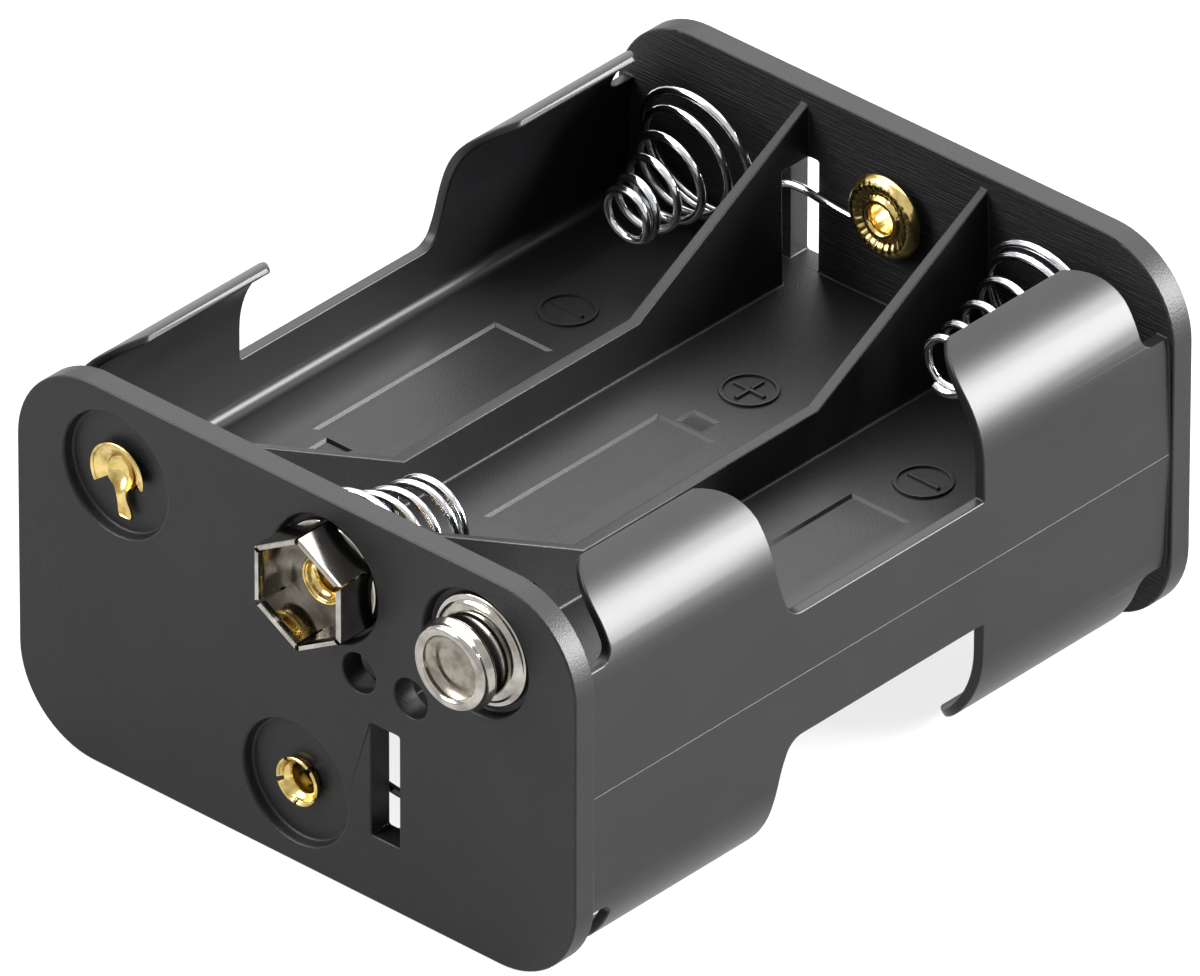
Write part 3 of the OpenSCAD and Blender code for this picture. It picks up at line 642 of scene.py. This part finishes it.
# The head's face in section: how far out from the bore, and how far below the top
headFace = [
    (0, 0.5), (0.03, 0.25), (0.12, 0.1), (0.26, 0.03), (0.4, 0.07), (0.52, 0.2), (0.6, 0.31), (0.72, 0.33),
    (0.86, 0.25), (1.02, 0.12), (1.2, 0.03), (1.38, 0.01), (1.55, 0.07), (1.75, 0.22), (1.9, 0.4),
]


# From the raised centre of the head over its rim, down the barrel and out to the flared end
def eyeletProfile(lift, cupRadius, foot):
    e = eyelet
    top = lift + e["headHeight"]
    bore, barrel, head, wall, footRound = e["bore"], e["barrel"], e["head"], e["cupSheet"], e["footRound"]
    lip = wall / 2
    rimY = foot - e["cupHeight"] + lip

    # a point of the cup's sheet, inset from its outside, at the share t of the way to the rim
    def cupPoint(t, inset, start, height):
        fallen = 1 - (1 - t) ** e["cupBend"]
        return e["foot"] - inset + (cupRadius - e["foot"]) * t, start - height * fallen

    face = [(bore + out, top - down) for out, down in headFace]
    face += [(head - 0.02, top - 0.58), (head, lift + 0.08), (head - 0.05, lift)]
    under = [(head - 0.4, lift), (barrel + 0.12, lift), (barrel, lift - 0.1)]
    outside = [(barrel, foot + 0.1), (barrel + 0.03, foot + 0.02), (e["foot"] - footRound, foot),
               (e["foot"] + 0.02, foot - footRound)]
    outside += [cupPoint(t, 0, foot - footRound, e["cupHeight"] - 0.15) for t in (0.25, 0.5, 0.75)]
    rim = [(cupRadius, rimY)]
    rim += arcPoints((cupRadius - lip, rimY), lip, -30, -150, 4) + [(cupRadius - wall, rimY)]
    inside = [cupPoint(t, wall, foot - 0.25, e["cupHeight"] - 0.34) for t in (0.75, 0.5, 0.25)]
    inside += [(e["foot"] - wall, foot - 0.26), (bore + 0.22, foot - 0.2), (bore + 0.07, foot - 0.08),
               (bore, foot + 0.12)]
    return face + under + outside + rim + inside


# Radial flutes that the press leaves on the head, and splits or a tear in the flared end
def eyeletWarp(lift, foot, gaps, gapWidth, torn):
    e = eyelet
    flutesFrom, flutesTo = e["bore"] + e["fluteStart"], e["head"] - e["fluteStop"]
    cupFrom = e["foot"] - e["missingInset"]

    def warp(angle, r, y):
        if y > lift and r > flutesFrom:
            share = min(1, (r - flutesFrom) / e["fluteRise"])
            share *= max(0, min(1, (flutesTo - r) / e["fluteFall"]))
            wave = 0.5 + 0.5 * math.cos(e["flutes"] * angle + e["fluteUneven"] * math.sin(3 * angle))
            y -= e["fluteDepth"] * share * wave ** 2
        if y < foot + 0.01 and r > cupFrom:
            turn = math.degrees(angle)
            near = min([abs((turn - gap + 180) % 360 - 180) for gap in gaps] or [360])
            split = near < math.degrees(gapWidth / 2 / max(r, 1))
            if split or (torn and e["tearFrom"] < turn < e["tearTo"]):
                jag = e["jagged"] * math.sin(9 * angle) ** 2 if torn else 0
                r, y = cupFrom, foot - e["missingRise"] - jag
            else:
                r += e["oval"] * math.sin(2 * angle + 0.7) * (r - cupFrom)
        return r, y
    return warp


# The torn strip row by row, in millimetres: z, how far it stands out, half its width, its crown's height
tongueRows = [
    (0.92, 0.3, 0.3, 0.05), (0.88, 0.14, 0.58, 0.22), (0.66, 0.06, 0.86, 0.42), (0.34, 0.0, 1.04, 0.56),
    (0.0, -0.04, 1.1, 0.62), (-0.36, -0.08, 1.06, 0.58), (-0.72, -0.14, 0.9, 0.46),
    (-1.02, -0.24, 0.64, 0.28), (-1.3, -0.32, 0.46, 0.18), (-1.62, -0.34, 0.42, 0.12),
    (-1.95, -0.32, 0.46, 0.08), (-2.3, -0.3, 0.52, 0.05), (-2.6, -0.32, 0.55, 0.03),
    (-2.85, -0.38, 0.54, 0.02), (-3.0, -0.46, 0.44, 0.0),
]
tongue = {"sheet": 0.2, "acrossSteps": 12, "asideFrom": -0.4, "aside": 0.26}


# The torn strip: a round bulge in the bore, drawn out below into a short tongue that lies over the recess
def addTongue(shape, foot):
    steps = tongue["acrossSteps"]
    line = [Vector(row[:2]) for row in tongueRows]
    rings = []
    for i, (z, out, half, crown) in enumerate(tongueRows):
        along = (line[min(i + 1, len(line) - 1)] - line[max(i - 1, 0)]).normalized()
        normal = Vector((along.y, -along.x))     # (z, y) that points away from the plate
        aside = tongue["aside"] * max(0, tongue["asideFrom"] - z)
        ring = []
        for side, thick in ((1, 0), (-1, tongue["sheet"])):
            for k in range(steps + 1):
                u = side * (-1 + 2 * k / steps)
                push = crown * (1 - u * u) - thick
                ring.append(shape.verts.new(((u * half + aside) * mm, (foot + out + normal.y * push) * mm,
                                             (z + normal.x * push) * mm)))
        rings.append(ring)
    joinRings(shape, rings)


def makeEyelet(node, x, wall, layer, cupRadius, lift=eyelet["lift"], sheet=0.0, gaps=(), gapWidth=0.0,
               material=brassMaterial, torn=False):
    foot = recessFloor - sheet

    def build(shape):
        turnProfile(shape, eyeletProfile(lift, cupRadius, foot), eyelet["steps"],
                    eyeletWarp(lift, foot, gaps, gapWidth, torn))
        if torn:
            addTongue(shape, foot)
        standOn(shape, x, rearInner if wall > 0 else frontInner,
                holder["middleHeight"] + layer * holder["cellHeight"], wall)

    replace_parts(meshObject(node + "_metal", build, material, smoothAngle=48), node)


sheet = holder["terminalSheet"]
split = eyelet["splitWidth"]
makeEyelet("eyelet_top_left", -pitch, -1, 1, 2.25, torn=True)
makeEyelet("eyelet_top_middle", 0, 1, 1, 1.75, gaps=narrowSplits, gapWidth=split)
makeEyelet("eyelet_bottom_left", -pitch, 1, -1, 1.75, gaps=narrowSplits, gapWidth=split)
makeEyelet("eyelet_bottom_middle", 0, -1, -1, 1.75, gaps=narrowSplits, gapWidth=split)
makeEyelet("eyelet_bottom_right", pitch, 1, -1, 1.75, gaps=narrowSplits, gapWidth=split)
makeEyelet("stud_rivet", pitch, -1, 1, 1.75, lift=0.0, sheet=sheet,
           material=nickelMaterial)
makeEyelet("socket_eyelet", holder["socketX"], -1, 1, 1.75, sheet=sheet)
print("eyelets made")


# hole is the radius where the flange's sheet ends inside, waistRound the radius of the curve from the neck
# out to the bead
stud = {"flange": 3.9, "hole": 1.3, "neck": 2.72, "bead": 2.95, "beadRound": 0.4, "reach": 3.35,
        "dishDepth": 0.75, "waistRound": 0.43, "steps": 144}
terminalY = holder["frontFace"] + holder["recessDepth"]
terminalZ = holder["middleHeight"] + holder["cellHeight"]


# The flange's steps up to the neck: the radius, and the height over the flange's sheet
studSteps = [(3.56, 0.01), (3.46, 0.07), (3.38, 0.18), (3.26, 0.26), (3.05, 0.31), (2.86, 0.36)]


# The rounded edge of a terminal's flange in section, from its underside to its top
def flangeRim(radius):
    return arcPoints((radius - sheet / 2, sheet / 2), sheet / 2, -90, 90, 8)


# The stud: a stepped flange, a waisted neck and a rolled bead
def buildStud(shape):
    s = stud
    front, neck, bead, curl = s["reach"], s["neck"], s["bead"], s["beadRound"]
    inner = neck - sheet
    profile = [(s["hole"], 0.0), (s["flange"] - 0.12, 0.0)] + flangeRim(s["flange"])
    profile += [(radius, sheet + rise) for radius, rise in studSteps]
    profile += [(neck + 0.2, sheet + 0.52), (neck + 0.07, sheet + 0.78), (neck, sheet + 1.05),
                (neck - 0.02, front - 1.5)]
    profile += arcPoints((neck + 0.02, front - 0.99), s["waistRound"], -80, 0, 6)
    profile += [(bead, front - 0.75)]
    profile += arcPoints((bead - curl, front - curl), curl, 0, 150, 12)
    profile += [(inner + 0.04, front - 0.45), (inner, front - 0.6), (inner, 1.2), (1.5, sheet),
                (s["hole"], sheet)]
    turnProfile(shape, profile, s["steps"])
    standOn(shape, pitch, terminalY, terminalZ, 1)


# The rivet's end in section: how far in from its edge, and how high over the level of dishDepth
dishFace = [(0, 0.16), (0.07, 0.05), (0.2, -0.08), (0.42, -0.2), (0.62, -0.26), (0.78, -0.24),
            (0.95, -0.28), (1.4, -0.35)]


# The rivet's end, pressed out into a shallow dish that closes the stud
def buildStudDish(shape):
    s = stud
    wide = s["neck"] - sheet + 0.02
    deep = s["reach"] - s["dishDepth"]
    profile = [(wide - inward, deep + lift) for inward, lift in dishFace]
    profile += [(0.02, deep - 0.38), (0.02, deep - 0.6), (wide - 0.3, deep - 0.5), (wide, deep - 0.2)]
    turnProfile(shape, profile, s["steps"])
    standOn(shape, pitch, terminalY, terminalZ, 1)


# the dish's darker nickel is painted shade inside the stud
meshObject("studDish", buildStudDish, rubbedShadedNickelMaterial, smoothAngle=40)
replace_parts(meshObject("snapStudMetal", buildStud, nickelMaterial, smoothAngle=50), "snap_stud")

# slitFade is the height over which a slit opens above the closed collar, mouthIn how far the mouth's
# rounded edges stand in from the leaf's outside and down from its top
socket = {"apothem": 3.65, "leafSheet": 0.5, "leaves": 6, "collarTop": 0.95, "reach": 3.35,
          "slit": 0.16, "slitFade": 0.1, "cornerMm": 0.1, "flange": 3.9, "hole": 1.3,
          "flangeSteps": 96, "columns": 12, "weldDistance": 0.0001}
mouthIn = [(0.03, 0.06), (0.09, 0), (0.3, 0), (0.36, 0.03)]


# One leaf in section, (distance from the axis, height): a plain outer face, a rounded mouth, a bevelled lip
def leafProfile():
    s = socket
    out, top, collar = s["apothem"], s["reach"], s["collarTop"]
    thin = out - s["leafSheet"]
    heights = [0.2, 0.6, collar, collar + 0.12, 1.4, 1.9, 2.4, 2.8, top - 0.3, top - 0.15]
    outside = [(out, h) for h in heights]
    mouth = [(out - inward, top - down) for inward, down in mouthIn]
    mouth += [(thin, top - 0.42), (thin, top - 0.5)]
    inside = [(thin, h) for h in reversed(heights[:8])]
    return outside + mouth + inside


# The leaves on a round flange, joined by a closed collar and parted above it by slits
def buildSocket(shape):
    s = socket
    flange = [(s["hole"], 0.0)] + flangeRim(s["flange"]) + [(s["hole"], sheet)]
    turnProfile(shape, flange, s["flangeSteps"])
    profile = leafProfile()
    halfTurn, corner = math.pi / s["leaves"], s["cornerMm"]
    for leaf in range(s["leaves"]):
        turn = Matrix.Rotation(2 * halfTurn * leaf, 4, "Y")
        rows = []
        for out, y in profile:
            half = out * math.tan(halfTurn)
            if y > s["collarTop"]:
                opened = min(1, (y - s["collarTop"]) / s["slitFade"])
                half -= s["slit"] / 2 / math.cos(halfTurn) * opened
            fromMouth = s["reach"] - y
            if fromMouth < corner:
                half -= corner - math.sqrt(max(0, corner ** 2 - (corner - fromMouth) ** 2))
            across = [half * (-1 + 2 * j / s["columns"]) for j in range(s["columns"] + 1)]
            rows.append([shape.verts.new(turn @ Vector((out * mm, y * mm, z * mm))) for z in across])
        count = len(rows)
        for i in range(count):
            a, b = rows[i], rows[(i + 1) % count]
            for j in range(s["columns"]):
                shape.faces.new((a[j], b[j], b[j + 1], a[j + 1]))
        # the cut sides of the leaf, above the closed collar
        above = [i for i in range(count) if profile[i][1] >= s["collarTop"]]
        for j in (0, s["columns"]):
            shape.faces.new([rows[i][j] for i in above])
    bmesh.ops.remove_doubles(shape, verts=shape.verts, dist=s["weldDistance"] * mm)
    standOn(shape, holder["socketX"], terminalY, terminalZ, 1)


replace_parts(meshObject("snapSocketMetal", buildSocket, nickelMaterial, smoothAngle=30),
            "snap_socket")
print("snap terminals made")


# floorSize and aim are in metres, floorDrop in millimetres
studio = {"floorSize": 4.0, "floorDrop": 0.02, "paper": 0.9, "shadowShare": 0.18,
          "worldDiffuse": 0.25, "background": 1.0, "aim": (0, 0, 0.014)}
white = (1, 1, 1, 1)
# Where each softbox hangs, its two sides in metres and its power in watts; all look at the holder
lamps = {
    "topSoftbox": {"at": (-0.25, 0.35, 0.92), "sides": (1.6, 1.6), "power": 36.0},
    "rightSoftbox": {"at": (0.67, 0.61, 0.35), "sides": (0.52, 0.52), "power": 50.0},
    "frontSoftbox": {"at": (-0.56, -0.59, 0.58), "sides": (0.7, 0.5), "power": 16.0},
}


# Camera, glossy and transmission rays see the white backdrop; the rest see the lit surface
def seesBackdrop(tree):
    rays = addNode(tree, "ShaderNodeLightPath").outputs
    direct = addNode(tree, "ShaderNodeMath", {"operation": "MAXIMUM"},
                     {0: rays["Is Camera Ray"], 1: rays["Is Glossy Ray"]})
    seen = addNode(tree, "ShaderNodeMath", {"operation": "MAXIMUM"},
                   {0: direct.outputs[0], 1: rays["Is Transmission Ray"]})
    return seen.outputs[0]


def makeFloor():
    mesh = bpy.data.meshes.new("floor")
    h = studio["floorSize"] / 2
    mesh.from_pydata([(-h, -h, 0), (h, -h, 0), (h, h, 0), (-h, h, 0)], [], [(0, 1, 2, 3)])
    floor = bpy.data.objects.new("floor", mesh)
    bpy.context.scene.collection.objects.link(floor)
    floor.location.z = -studio["floorDrop"] * mm
    material, tree, output = newMaterial("paperFloor")
    shade = studio["paper"]
    paper = addNode(tree, "ShaderNodeBsdfDiffuse", {"Color": (shade, shade, shade, 1)})
    glow = addNode(tree, "ShaderNodeEmission", {"Color": white, "Strength": studio["background"]})
    blended = addNode(tree, "ShaderNodeMixShader", {0: studio["shadowShare"]},
                      {1: glow.outputs[0], 2: paper.outputs[0]})
    mixed = addNode(tree, "ShaderNodeMixShader",
                    links={0: seesBackdrop(tree), 1: paper.outputs[0], 2: blended.outputs[0]})
    tree.links.new(mixed.outputs[0], output.inputs[0])
    mesh.materials.append(material)


def makeWorld():
    world = bpy.data.worlds.new("studioWorld")
    world.use_nodes = True
    tree = world.node_tree
    tree.nodes.clear()
    light = addNode(tree, "ShaderNodeBackground", {"Color": white, "Strength": studio["worldDiffuse"]})
    backdrop = addNode(tree, "ShaderNodeBackground", {"Color": white, "Strength": studio["background"]})
    mixed = addNode(tree, "ShaderNodeMixShader",
                    links={0: seesBackdrop(tree), 1: light.outputs[0], 2: backdrop.outputs[0]})
    output = addNode(tree, "ShaderNodeOutputWorld")
    tree.links.new(mixed.outputs[0], output.inputs[0])
    bpy.context.scene.world = world


def makeLamps():
    for name, lamp in lamps.items():
        data = bpy.data.lights.new(name, "AREA")
        data.shape = "RECTANGLE"
        data.size, data.size_y = lamp["sides"]
        data.energy = lamp["power"]
        light = bpy.data.objects.new(name, data)
        light.location = lamp["at"]
        aim = Vector(studio["aim"]) - Vector(lamp["at"])
        light.rotation_euler = aim.to_track_quat("-Z", "Y").to_euler()
        bpy.context.scene.collection.objects.link(light)


# The photograph's view, as it was fitted to the plates' corners; the clip distances are in metres
view = {"azimuth": 42.168, "elevation": 32.508, "roll": 0.1062, "focalPixels": 29945.0,
        "pixelsPerMm": 15.8242, "size": (1200, 976), "aim": (0.0, 1.178, 14.1),
        "aimPixel": (604.754, 490.354),
        "sensorMm": 36.0, "clip": (0.05, 20.0)}


def makeCamera():
    v = view
    azimuth, elevation, roll = (math.radians(v[k]) for k in ("azimuth", "elevation", "roll"))
    level = math.cos(elevation)
    forward = Vector((-math.sin(azimuth) * level, math.cos(azimuth) * level, -math.sin(elevation)))
    right = Vector((math.cos(azimuth), math.sin(azimuth), 0))
    up = right.cross(forward)
    tiltedRight = math.cos(roll) * right + math.sin(roll) * up
    tiltedUp = math.cos(roll) * up - math.sin(roll) * right
    distance = v["focalPixels"] / v["pixelsPerMm"]
    offsetX, offsetY = ((at - whole / 2) / v["pixelsPerMm"] for at, whole in zip(v["aimPixel"], v["size"]))
    place = Vector(v["aim"]) - forward * distance - tiltedRight * offsetX + tiltedUp * offsetY
    data = bpy.data.cameras.new("camera")
    data.sensor_width = v["sensorMm"]
    data.lens = v["focalPixels"] / v["size"][0] * v["sensorMm"]
    data.clip_start, data.clip_end = v["clip"]
    camera = bpy.data.objects.new("camera", data)
    turn = Matrix((tiltedRight, tiltedUp, -forward)).transposed()
    camera.matrix_world = Matrix.Translation(place * mm) @ turn.to_4x4()
    bpy.context.scene.collection.objects.link(camera)
    bpy.context.scene.camera = camera


makeFloor()
makeWorld()
makeLamps()
makeCamera()
bpy.context.scene.view_settings.view_transform = "Standard"
print("stage made")
